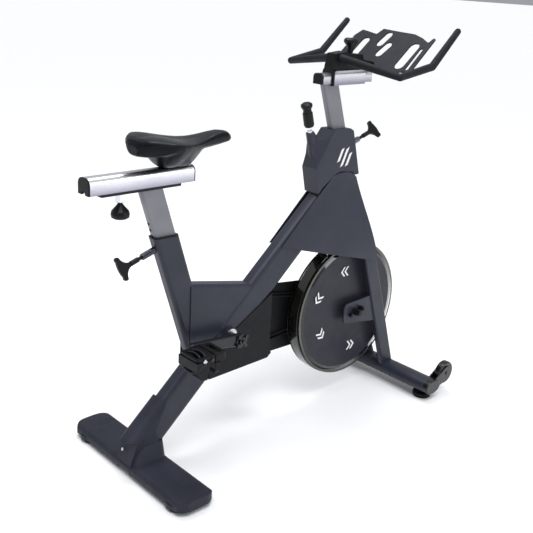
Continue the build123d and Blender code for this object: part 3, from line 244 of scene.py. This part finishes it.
def flywheel_iron():
    """Cast wheel, machined and lacquered glossy black."""
    look = Look("flywheel_iron", srgb(26, 25, 24), 0.28, metallic=0.5, coat=1.0, coat_roughness=0.05)
    look.tint(look.noise(25, 4), srgb(20, 20, 20), srgb(38, 36, 33))
    look.rough(look.noise(50, 4), 0.24, 0.38)
    look.round_edges(0.0015)
    look.bump(look.noise(350, 3), 0.10, 0.0004)
    return look.material


def disc_paint():
    look = Look("disc_paint", srgb(38, 39, 48), 0.40, coat=0.2, coat_roughness=0.3)
    look.tint(look.noise(12, 4), srgb(35, 36, 44), srgb(42, 43, 52))
    look.rough(look.noise(35, 4), 0.42, 0.56)
    look.round_edges(0.001)
    look.bump(look.noise(1300, 2), 0.22, 0.0003)
    return look.material


def belt_rubber():
    look = Look("belt_rubber", srgb(22, 22, 23), 0.7)
    look.tint(look.noise(60, 4), srgb(18, 18, 19), srgb(30, 30, 31))
    look.bump(look.noise(220, 3), 0.5, 0.0006)
    return look.material


def post_metal():
    """Satin grey posts; the top of the seat post is coloured near-black from just under the seat rail to
    30 mm above its underside.
    """
    look = Look("post_metal", srgb(120, 121, 126), 0.42, metallic=0.3, coat=0.2, coat_roughness=0.3)
    look.tint(look.noise(10, 4), srgb(116, 117, 122), srgb(128, 129, 134))
    height = look.position("Z")
    rail_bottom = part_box("seat_rail")[0].z
    dark_band_low, dark_band_high, blur = rail_bottom - 0.0095, rail_bottom + 0.03, 0.0002
    above = look.ranged(height, 0, 1, dark_band_low, dark_band_low + blur)
    below = look.ranged(height, 1, 0, dark_band_high, dark_band_high + blur)
    # Near-black colour over this band of the seat post, set by height.
    look.over(look.product(above, below), srgb(24, 25, 28))
    look.rough(look.noise(4, 4, stretch=(180, 180, 4)), 0.34, 0.50)
    look.round_edges(0.0015)
    look.bump(look.noise(4, 3, stretch=(260, 260, 4)), 0.10, 0.0003)
    return look.material


def rail_aluminium():
    """Anodised rails, with painted shade: duller and more lilac towards their undersides."""
    look = Look("rail_aluminium", srgb(232, 232, 238), 0.24, metallic=1.0)
    look.tint(look.noise(12, 3), srgb(224, 224, 231), srgb(240, 240, 245))
    along, height = look.position("X"), look.position("Z")
    for node in ("seat_rail", "bar_rail"):
        low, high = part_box(node)
        # Painted shade: the base colour turns lilac-grey towards the underside of each rail.
        underside = look.ranged(height, 1, 0, low.z, low.z + 0.72 * (high.z - low.z))
        past_start = look.ranged(along, 0, 1, low.x - 0.02, low.x - 0.019)
        before_end = look.ranged(along, 1, 0, high.x + 0.02, high.x + 0.021)
        look.over(look.product(look.product(underside, past_start), before_end), srgb(150, 147, 163))
    look.rough(look.noise(4, 4, stretch=(3, 320, 320)), 0.22, 0.32)
    look.round_edges(0.0012)
    look.bump(look.noise(4, 3, stretch=(3, 400, 400)), 0.04, 0.0001)
    return look.material


def saddle_vinyl():
    look = Look("saddle_vinyl", srgb(12, 13, 18), 0.30, specular=0.14)
    look.tint(look.noise(18, 5), srgb(9, 10, 14), srgb(16, 17, 24))
    look.rough(look.noise(30, 4), 0.26, 0.38)
    look.bump(look.cells(520), 0.12, 0.0003)
    look.bump(look.noise(1400, 2), 0.05, 0.0002)
    return look.material


def bar_grip():
    look = Look("bar_grip", srgb(22, 23, 28), 0.60)
    look.tint(look.noise(30, 4), srgb(19, 20, 25), srgb(29, 30, 36))
    look.rough(look.noise(40, 4), 0.55, 0.70)
    look.bump(look.cells(800), 0.55, 0.0005)
    return look.material


def arrow_paint():
    look = Look("arrow_paint", srgb(236, 236, 236), 0.45)
    look.tint(look.noise(60, 4), srgb(228, 228, 228), srgb(243, 243, 243))
    look.bump(look.noise(1200, 2), 0.15, 0.0002)
    return look.material


looks = {
    "frame_paint": frame_paint(),
    "pad_plastic": moulded("pad_plastic", srgb(35, 37, 47), srgb(43, 45, 56), 0.50, 700),
    "fairing_plastic": moulded("fairing_plastic", srgb(40, 43, 54), srgb(46, 49, 61), 0.42, 1100,
                               0.0002, 0.2),
    "cover_plastic": moulded("cover_plastic", srgb(11, 12, 13), srgb(17, 17, 19), 0.50, 800),
    "screw_steel": turned_metal("screw_steel", srgb(190, 190, 192), srgb(210, 210, 212), 0.28, "Z"),
    "foot_rubber": foot_rubber(),
    "wheel_plastic": moulded("wheel_plastic", srgb(14, 12, 13), srgb(22, 20, 21), 0.26, 500, 0.0001, 0.5),
    "bushing_plastic": moulded("bushing_plastic", srgb(14, 14, 16), srgb(20, 20, 22), 0.50, 900),
    "bearing_steel": turned_metal("bearing_steel", srgb(180, 180, 182), srgb(200, 200, 202), 0.25),
    "flywheel_iron": flywheel_iron(),
    "disc_paint": disc_paint(),
    "belt_rubber": belt_rubber(),
    "crank_paint": moulded("crank_paint", srgb(14, 15, 19), srgb(21, 22, 28), 0.30, 900, 0.0001, 0.5),
    "axle_steel": turned_metal("axle_steel", srgb(150, 150, 154), srgb(175, 175, 180), 0.30),
    "pedal_plastic": moulded("pedal_plastic", srgb(9, 9, 11), srgb(15, 15, 18), 0.45, 900),
    "knob_plastic": moulded("knob_plastic", srgb(8, 8, 9), srgb(13, 13, 15), 0.42, 1000, 0.0003, 0.1),
    "rod_chrome": rod_chrome(),
    "post_metal": post_metal(),
    "rail_aluminium": rail_aluminium(),
    "saddle_vinyl": saddle_vinyl(),
    "saddle_shell": moulded("saddle_shell", srgb(26, 27, 33), srgb(36, 37, 45), 0.34, 600, 0.0002, 0.4),
    "bar_grip": bar_grip(),
    "tray_plastic": moulded("tray_plastic", srgb(21, 22, 28), srgb(28, 29, 36), 0.50, 1000),
}
arrow_white = arrow_paint()
guide_finish = guide_metal()
edge_finish = turned_metal("wheel_bevel", srgb(88, 88, 82), srgb(112, 112, 104), 0.30)
cord_finish = moulded("cord_grey", srgb(36, 38, 48), srgb(50, 52, 64), 0.35, 900)

for part in frame["record"]["subparts"]:
    mesh = nodes[part["node"]].data
    mesh.materials.clear()
    finish = guide_finish if part["node"] == "guide_sleeves" else looks[part["material_slot"]]
    mesh.materials.append(finish)


# ---------------------------------------------------------------- pieces

cord_sides = 12
skin_lift = 0.0001      # painted marks and rings stand this far off the face below them
paint_thickness = 0.0005


def new_piece(name, mesh, slot, body, material=None):
    """Adds a mesh as a piece that rides on a body and takes its finish from a slot."""
    piece = bpy.data.objects.new(name, mesh)
    scene.collection.objects.link(piece)
    mesh.materials.append(material or looks[slot])
    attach(piece, body)
    return piece


def finished(name, shape, smooth=False):
    """Turns a bmesh into a mesh with its faces outwards, and frees it."""
    bmesh.ops.recalc_face_normals(shape, faces=shape.faces)
    for face in shape.faces:
        face.smooth = smooth
    mesh = bpy.data.meshes.new(name)
    shape.to_mesh(mesh)
    shape.free()
    return mesh


def bridge(shape, one, other):
    """Joins two rings of as many vertices with a band of faces."""
    count = len(one)
    for step in range(count):
        following = (step + 1) % count
        shape.faces.new((one[step], one[following], other[following], other[step]))


def middle(node):
    """Centre of a node's box in X and Z."""
    low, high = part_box(node)
    return (low.x + high.x) / 2, (low.z + high.z) / 2


def circle(shape, centre, radius, y, sides):
    """Ring of vertices around a centre given in X and Z, at one Y."""
    return [shape.verts.new((centre[0] + radius * math.cos(math.tau * k / sides), y,
                             centre[1] + radius * math.sin(math.tau * k / sides))) for k in range(sides)]


def tube(name, points, radius, closed=False):
    """A round cord swept along a line of points, in metres."""
    points = [Vector(point) for point in points]
    shape = bmesh.new()
    rings = []
    last = len(points) - 1
    side = None
    for index, point in enumerate(points):
        before = points[index - 1] if index or closed else point
        after = points[(index + 1) % len(points)] if index < last or closed else point
        ahead = (after - before).normalized()
        if side is None:
            side = ahead.orthogonal().normalized()
        side = (side - ahead * side.dot(ahead)).normalized()
        up = ahead.cross(side)
        ring = []
        for turn in range(cord_sides):
            angle = math.tau * turn / cord_sides
            reach = side * (radius * math.cos(angle)) + up * (radius * math.sin(angle))
            ring.append(shape.verts.new(point + reach))
        rings.append(ring)
    pairs = list(zip(rings, rings[1:])) + ([(rings[-1], rings[0])] if closed else [])
    for one, other in pairs:
        bridge(shape, one, other)
    if not closed:
        shape.faces.new(rings[0])
        shape.faces.new(rings[-1])
    return finished(name, shape, smooth=True)


def prism(name, centre, radius, start, end, sides, chamfer=0.0008):
    """A round or many-sided bar along Y, in metres, with softened edges."""
    shape = bmesh.new()
    inwards = math.copysign(chamfer, end - start)
    rings = [circle(shape, centre, radius - inset, y, sides)
             for y, inset in ((start, chamfer), (start + inwards, 0), (end - inwards, 0), (end, chamfer))]
    for one, other in zip(rings, rings[1:]):
        bridge(shape, one, other)
    shape.faces.new(rings[0])
    shape.faces.new(rings[-1])
    return finished(name, shape)


def hub_hardware():
    """Axle nut and cap on each fork end, with the bolts of the belt tensioner beside them."""
    low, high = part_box("flywheel_axle")
    hub = middle("flywheel_axle")
    for side, tip, name in ((-1, low.y, "right"), (1, high.y, "left")):
        for part, x, z, radius, start, end, sides in (
                ("nut", 0, 0, 0.0115, -0.004, 0.010, 6),
                ("cap", 0, 0, 0.0075, 0.010, 0.017, 24),
                ("bolt", 0.026, 0.006, 0.0085, -0.010, 0.004, 6),
                ("bolt_tip", 0.026, 0.006, 0.0045, 0.004, 0.009, 16),
                ("lug", -0.020, -0.008, 0.0075, -0.010, 0.001, 6)):
            mesh = prism(f"hub_{part}", (hub[0] + x, hub[1] + z), radius, tip + side * start,
                         tip + side * end, sides)
            new_piece(f"hub_{part}_{name}", mesh, "knob_plastic", "frame")


def wheel_edge_ring():
    """Polished flat edge on each face of the wheel, outside the painted disc."""
    low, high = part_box("flywheel")
    hub = middle("flywheel")
    reach = (high.x - low.x) / 2
    for name, face, out in (("right", low.y, -1), ("left", high.y, 1)):
        shape = bmesh.new()
        rings = [circle(shape, hub, reach - inset, face + out * (rise + skin_lift), 160)
                 for inset, rise in ((0.0016, 0.0), (0.0024, 0.0005), (0.0090, 0.0005), (0.0098, 0.0))]
        for one, other in zip(rings, rings[1:] + rings[:1]):
            bridge(shape, one, other)
        new_piece(f"wheel_edge_{name}", finished("wheel_edge", shape), "flywheel_iron", "flywheel_set",
                  edge_finish)


def crank_caps():
    """Dust cap, lobes and bolt on the boss of each crank."""
    crank_face_y = 0.077
    lobe_reach, lobe_start = 0.0185, 38
    boss = middle("crank_axle")
    for side, name in ((-1, "right"), (1, "left")):
        pieces = [("disc", 0, 0, 0.0205, 0, 0.004, 48), ("cap", 0, 0, 0.0125, 0.004, 0.010, 32),
                  ("bolt", 0, 0, 0.0060, 0.010, 0.014, 6)]
        for k in range(4):
            turn = math.radians(lobe_start + 90 * k)
            pieces.append((f"lobe_{k + 1}", lobe_reach * math.cos(turn), lobe_reach * math.sin(turn),
                           0.0062, 0, 0.009, 20))
        for part, x, z, radius, start, end, sides in pieces:
            mesh = prism(f"crank_{part}", (boss[0] + x, boss[1] + z), radius,
                         side * crank_face_y + side * start, side * crank_face_y + side * end, sides)
            new_piece(f"crank_{part}_{name}", mesh, "crank_paint", "crank_set")


def pedal_straps():
    """Two cords looped round each toe cage, with a small metal buckle."""
    loop_points = 40
    cord_radius, cord_gap, cord_top = 0.0022, 0.003, 0.014
    for name in ("right", "left"):
        low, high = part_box(f"pedal_{name}")
        centre = (low + high) / 2
        half = (high.y - low.y) / 2
        for index, (shift, drop, lean) in enumerate(((-0.030, 0.050, 0.020), (-0.012, 0.040, 0.034))):
            loop = []
            for k in range(loop_points):
                turn = math.tau * k / loop_points
                below = 0.5 - 0.5 * math.cos(turn)
                loop.append((centre.x + shift - lean * below,
                             centre.y + (half + cord_gap) * math.sin(turn),
                             centre.z + cord_top - drop * below))
            new_piece(f"strap_cord_{name}_{index + 1}", tube("strap", loop, cord_radius, closed=True),
                      "pedal_plastic", f"pedal_{name}_set", cord_finish)
        side, outer = (-1, low.y) if name == "right" else (1, high.y)
        mesh = prism("buckle", (centre.x - 0.026, centre.z + 0.002), 0.0075, outer,
                     outer + side * 0.004, 4)
        new_piece(f"strap_buckle_{name}", mesh, "screw_steel", f"pedal_{name}_set")


def chevrons():
    """Four white double arrows on the right face of the wheel."""
    hub_x, hub_z = middle("flywheel")
    face_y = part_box("flywheel_cover")[0].y
    # place from the hub and turn of each arrow, then half its outline; millimetres and degrees
    places = ((-32, 138, 180), (-148, 70, 232), (-127, -60, 305), (23, -137, 0))
    stroke = ((12.5, 0), (-1, 16), (-8.5, 16), (5, 0), (-8.5, -16), (-1, -16))
    for index, (x, z, turn) in enumerate(places):
        shape = bmesh.new()
        turned = Matrix.Rotation(math.radians(turn), 2)
        for shift in (-8, 8):
            ring = []
            for u, v in stroke:
                point = turned @ Vector((u + shift, v))
                ring.append(shape.verts.new((hub_x + (x + point.x) / 1000, face_y + skin_lift,
                                             hub_z + (z + point.y) / 1000)))
            upper = shape.faces.new((ring[0], ring[1], ring[2], ring[3]))
            lower = shape.faces.new((ring[0], ring[3], ring[4], ring[5]))
            bmesh.ops.extrude_face_region(shape, geom=[upper, lower])
            for vertex in ring:
                vertex.co.y -= paint_thickness
        name = f"wheel_arrow_{index + 1}"
        new_piece(name, finished(name, shape), "disc_paint", "flywheel_set", arrow_white)


def closed_rings(name, rings):
    """Smooth closed skin over rings of points, capped at both ends."""
    shape = bmesh.new()
    rows = [[shape.verts.new(point) for point in ring] for ring in rings]
    for one, other in zip(rows, rows[1:]):
        bridge(shape, one, other)
    shape.faces.new(list(reversed(rows[0])))
    shape.faces.new(rows[-1])
    return finished(name, shape, smooth=True)


def blended(stations, x, column):
    """Value of a station column at x, straight between the stations."""
    for low, high in zip(stations, stations[1:]):
        if x <= high[0]:
            share = (x - low[0]) / (high[0] - low[0])
            return low[column] + (high[column] - low[column]) * share
    return stations[-1][column]


def eased(value, start, end):
    """Goes smoothly from 0 at start to 1 at end."""
    share = min(max((value - start) / (end - start), 0), 1)
    return share * share * (3 - 2 * share)


def saddle():
    """Moulded saddle: wide padded tail, slim raised nose, and a skirt that flares down to the rail."""
    # x, half width, top, edge (where the skin turns under), underside; all in millimetres
    stations = (
        (-506, 20, 925, 916, 903), (-500, 38, 939, 926, 899), (-488, 56, 945, 932, 897),
        (-472, 74, 947, 935, 895), (-455, 90, 947, 935, 897), (-438, 98, 945, 933, 902),
        (-415, 96, 941, 929, 905), (-390, 85, 936, 926, 904), (-365, 71, 932, 923, 902),
        (-340, 57, 930, 921, 900), (-315, 45, 931, 921, 900), (-290, 36, 935, 923, 901),
        (-262, 30, 940, 927, 903), (-236, 26, 943, 929, 906), (-214, 21, 940, 927, 909),
        (-202, 14, 932, 922, 911), (-197, 6, 923, 918, 913))
    neck_back, neck_front, neck_half, neck_low = -418, -348, 20, 860.5
    tail, nose = stations[0][0], stations[-1][0]
    points_round, steps = 64, 90
    rings = []
    for step in range(steps + 1):
        x = tail + (nose - tail) * (0.5 - 0.5 * math.cos(math.pi * step / steps))
        half, top, edge, under = (blended(stations, x, column) for column in (1, 2, 3, 4))
        neck = eased(x, neck_back - 66, neck_back) * (1 - eased(x, neck_front, neck_front + 80) ** 0.75)
        ring = []
        for turn in range(points_round):
            angle = 2 * math.pi * turn / points_round
            across, rise = math.cos(angle), math.sin(angle)
            y = half * math.copysign(abs(across) ** 0.82, across)
            if rise >= 0:
                hollow = 3.2 * math.exp(-(y / 11) ** 2) * eased(x, -500, -470) * (1 - eased(x, -360, -290))
                z = edge + (top - edge) * rise ** 0.72 - hollow
            else:
                depth = (edge - under) * abs(rise) ** 0.8
                reach = max(abs(y) - neck_half, 0) / max(half - neck_half, 1)
                flare = (1 - min(reach, 1)) ** 0.66
                crease = 1.4 * math.sin(x * 0.16) * eased(abs(y), 14, 34) * (1 - eased(abs(y), 60, 90))
                z = edge - max(depth, neck * flare * (edge - neck_low)) + crease * neck * abs(rise)
            ring.append((x / 1000, y / 1000, z / 1000))
        rings.append(ring)
    piece = new_piece("saddle", closed_rings("saddle", rings), "saddle_vinyl", "saddle_set")
    smooth = piece.modifiers.new("rounding", "SMOOTH")
    smooth.factor = 0.5
    smooth.iterations = 3
    finer = piece.modifiers.new("finer", "SUBSURF")
    finer.levels = finer.render_levels = 1
    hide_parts("saddle_pad", "saddle_base")
    seam = [(x, y * 1.004, z) for x, y, z in (ring[0] for ring in rings[3:-3])]
    for side, name in ((-1, "right"), (1, "left")):
        line = [(x, side * y, z) for x, y, z in seam]
        new_piece(f"saddle_piping_{name}", tube("piping", line, 0.0012), "saddle_vinyl", "saddle_set")


def cover_stripes():
    """Three plain slanted stripes on each side of the head cover."""
    low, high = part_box("head_cover")
    centre = Vector((low.x + 0.66 * (high.x - low.x), low.z + 0.54 * (high.z - low.z)))
    lean = math.radians(24)
    along = Vector((math.sin(lean), math.cos(lean)))
    cross = Vector((math.cos(lean), -math.sin(lean)))
    half_width = 0.0042
    for side, face_y, name in ((-1, low.y, "right"), (1, high.y, "left")):
        surface = face_y + side * skin_lift
        for index, (shift, length) in enumerate(((-0.020, 0.050), (0.0, 0.070), (0.020, 0.050))):
            shape = bmesh.new()
            ring = []
            for u, v in ((-0.5, -1), (-0.34, 1), (0.5, 1), (0.34, -1)):
                point = centre + cross * (shift + v * half_width) + along * (u * length)
                ring.append(shape.verts.new((point.x, surface, point.y)))
            face = shape.faces.new(ring)
            bmesh.ops.extrude_face_region(shape, geom=[face])
            for vertex in ring:
                vertex.co.y += side * paint_thickness
            new_piece(f"cover_stripe_{name}_{index + 1}", finished("stripe", shape), "disc_paint",
                      "frame", arrow_white)


chevrons()
wheel_edge_ring()
hub_hardware()
crank_caps()
pedal_straps()
cover_stripes()
saddle()


# ---------------------------------------------------------------- set

def add_camera():
    """Camera to the rear right of the bike, a little above it, rolled slightly."""
    azimuth, elevation, roll = math.radians(-43.396), math.radians(19.483), math.radians(3.208)
    back = Vector((math.sin(azimuth) * math.cos(elevation), -math.cos(azimuth) * math.cos(elevation),
                   math.sin(elevation)))
    level = Vector((math.cos(azimuth), math.sin(azimuth), 0))
    upright = back.cross(level)
    right = math.cos(roll) * level + math.sin(roll) * upright
    up = math.cos(roll) * upright - math.sin(roll) * level
    data = bpy.data.cameras.new("camera")
    data.sensor_width = 36
    data.lens = 56.03
    camera = bpy.data.objects.new("camera", data)
    scene.collection.objects.link(camera)
    turn = Matrix((right, up, back)).transposed().to_4x4()
    camera.matrix_world = Matrix.Translation((-1.6354, -1.6965, 1.3424)) @ turn
    scene.camera = camera


def aimed(name, data, place, aim, colour):
    """Puts a light in the scene, pointing from a place to an aim."""
    data.color = colour
    light = bpy.data.objects.new(name, data)
    scene.collection.objects.link(light)
    light.location = place
    light.rotation_euler = (Vector(aim) - Vector(place)).to_track_quat("-Z", "Y").to_euler()


def add_light(name, place, aim, size, power, colour):
    data = bpy.data.lights.new(name, "AREA")
    data.shape = "RECTANGLE"
    data.size, data.size_y = size
    data.energy = power
    aimed(name, data, place, aim, colour)


def add_sun(name, place, aim, strength, spread, colour):
    data = bpy.data.lights.new(name, "SUN")
    data.energy = strength
    data.angle = math.radians(spread)
    aimed(name, data, place, aim, colour)


def add_floor():
    mesh = bpy.data.meshes.new("floor")
    size = 60
    corners = [(-size, -size, 0), (size, -size, 0), (size, size, 0), (-size, size, 0)]
    mesh.from_pydata(corners, [], [(0, 1, 2, 3)])
    floor = bpy.data.objects.new("floor", mesh)
    scene.collection.objects.link(floor)
    look = Look("floor_white", (0.93, 0.93, 0.93, 1), 0.9, specular=0.1)
    mesh.materials.append(look.material)


def add_world():
    """Even white studio light, dimmer towards the horizon than overhead."""
    world = bpy.data.worlds.new("studio")
    scene.world = world
    world.use_nodes = True
    tree = world.node_tree
    background = tree.nodes["Background"]
    place = tree.nodes.new("ShaderNodeTexCoord")
    split = tree.nodes.new("ShaderNodeSeparateXYZ")
    ramp = tree.nodes.new("ShaderNodeValToRGB")
    ramp.color_ramp.elements[0].position = 0.0
    ramp.color_ramp.elements[0].color = (0.55, 0.56, 0.60, 1)
    ramp.color_ramp.elements[1].position = 0.6
    ramp.color_ramp.elements[1].color = (1, 1, 1, 1)
    tree.links.new(place.outputs["Generated"], split.inputs["Vector"])
    tree.links.new(split.outputs["Z"], ramp.inputs["Fac"])
    tree.links.new(ramp.outputs["Color"], background.inputs["Color"])
    background.inputs["Strength"].default_value = 0.62


add_camera()
add_floor()
add_world()
add_sun("key", (-0.5, -0.9, 3.2), (0, 0, 0.6), 1.7, 38, (0.95, 0.97, 1.0))
add_light("top", (0.3, 0.9, 3.4), (0, 0, 0.6), (2.0, 0.8), 45, (0.90, 0.93, 1.0))
add_light("side", (1.8, -3.4, 2.0), (0, 0, 0.6), (0.8, 2.2), 30, (0.92, 0.95, 1.0))
scene.view_settings.view_transform = "Standard"
